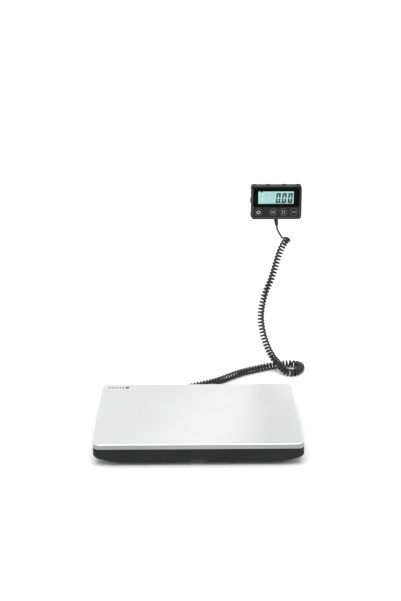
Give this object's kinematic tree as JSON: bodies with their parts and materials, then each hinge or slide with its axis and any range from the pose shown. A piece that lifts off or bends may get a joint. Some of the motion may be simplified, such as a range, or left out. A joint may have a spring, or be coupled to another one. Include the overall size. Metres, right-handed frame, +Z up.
{
  "type": "platform shipping scale",
  "caption": "Low steel-topped platform scale with a black base, a wall-hung backlit remote display on a bracket, and a curly cord between them.",
  "frame": {"origin": "centre of the weighing face, on the steel", "axes": "+Z up out of the weighing face, +X to the user's right, +Y away from the user towards the wall that the display hangs on"},
  "size_m": [0.3949, 0.5826, 0.3577],
  "materials": {
    "steel": "satin brushed stainless steel sheet",
    "zinc": "bright zinc plating",
    "casing": "fine-grained black ABS",
    "housing": "fine-grained dark grey ABS",
    "rubber": "matt black rubber",
    "cord": "satin black polyurethane jacket",
    "board": "green solder resist",
    "window": "polished black-bordered acrylic",
    "lcd": "cyan-lit liquid crystal glass",
    "diffuser": "white light guide",
    "foam": "closed-cell foam strip",
    "battery": "printed sleeve, plain"
  },
  "bodies": {
    "base": {"base_shell": "casing", "deck_plate": "casing", "platform_tray": "steel", "tray_pad_left": "foam", "tray_pad_right": "foam", "load_cell_front_left": "zinc", "load_cell_front_right": "zinc", "load_cell_back_left": "zinc", "load_cell_back_right": "zinc", "deck_screw_front_left": "zinc", "deck_screw_front_right": "zinc", "deck_screw_back_left": "zinc", "deck_screw_back_right": "zinc", "junction_board": "board", "cell_lead_front_left": "cord", "cell_lead_front_right": "cord", "cell_lead_back_left": "cord", "cell_lead_back_right": "cord", "cable_clamp": "casing", "clamp_screw": "zinc", "base_strain_relief": "rubber", "cord_inner_lead": "cord", "cord_lead_base": "cord", "cord_coil": "cord", "cord_lead_display": "cord", "wall_bracket": "housing", "bracket_screw_left": "zinc", "bracket_screw_right": "zinc"},
    "display": {"display_front_housing": "housing", "display_rear_housing": "housing", "display_window": "window", "lcd_panel": "lcd", "backlight": "diffuser", "display_board": "board", "keypad_membrane": "rubber", "battery_lower": "battery", "battery_middle": "battery", "battery_upper": "battery", "contact_strip_left": "zinc", "contact_strip_right": "zinc", "power_socket": "rubber", "case_screw_lower_left": "zinc", "case_screw_lower_right": "zinc", "case_screw_upper_left": "zinc", "case_screw_upper_right": "zinc", "display_strain_relief": "rubber"},
    "foot_front_left": {"foot_cup_front_left": "casing", "foot_pad_front_left": "rubber"},
    "foot_front_right": {"foot_cup_front_right": "casing", "foot_pad_front_right": "rubber"},
    "foot_back_left": {"foot_cup_back_left": "casing", "foot_pad_back_left": "rubber"},
    "foot_back_right": {"foot_cup_back_right": "casing", "foot_pad_back_right": "rubber"},
    "key_power": {"key_power": "housing"},
    "key_mode": {"key_mode": "housing"},
    "key_hold": {"key_hold": "housing"},
    "key_zero": {"key_zero": "housing"},
    "battery_door": {"battery_door": "housing"}
  },
  "joints": [
    {"name": "foot_press_front_left", "type": "slide", "parent": "base", "child": "foot_front_left", "axis": [0, 0, 1], "range_m": [0, 0.0004], "stiffness_N_per_m": 8000, "springref_m": -0.001},
    {"name": "foot_press_front_right", "type": "slide", "parent": "base", "child": "foot_front_right", "axis": [0, 0, 1], "range_m": [0, 0.0004], "stiffness_N_per_m": 8000, "springref_m": -0.001},
    {"name": "foot_press_back_left", "type": "slide", "parent": "base", "child": "foot_back_left", "axis": [0, 0, 1], "range_m": [0, 0.0004], "stiffness_N_per_m": 8000, "springref_m": -0.001},
    {"name": "foot_press_back_right", "type": "slide", "parent": "base", "child": "foot_back_right", "axis": [0, 0, 1], "range_m": [0, 0.0004], "stiffness_N_per_m": 8000, "springref_m": -0.001},
    {"name": "display_lift", "type": "slide", "parent": "base", "child": "display", "axis": [0, 0, 1], "range_m": [0, 0.012]},
    {"name": "key_power_press", "type": "slide", "parent": "display", "child": "key_power", "axis": [0, 1, 0], "range_m": [0, 0.0008], "stiffness_N_per_m": 400, "springref_m": -0.0005},
    {"name": "key_mode_press", "type": "slide", "parent": "display", "child": "key_mode", "axis": [0, 1, 0], "range_m": [0, 0.0008], "stiffness_N_per_m": 400, "springref_m": -0.0005},
    {"name": "key_hold_press", "type": "slide", "parent": "display", "child": "key_hold", "axis": [0, 1, 0], "range_m": [0, 0.0008], "stiffness_N_per_m": 400, "springref_m": -0.0005},
    {"name": "key_zero_press", "type": "slide", "parent": "display", "child": "key_zero", "axis": [0, 1, 0], "range_m": [0, 0.0008], "stiffness_N_per_m": 400, "springref_m": -0.0005},
    {"name": "battery_door_slide", "type": "slide", "parent": "display", "child": "battery_door", "axis": [0, 0, -1], "range_m": [0, 0.02]}
  ]
}
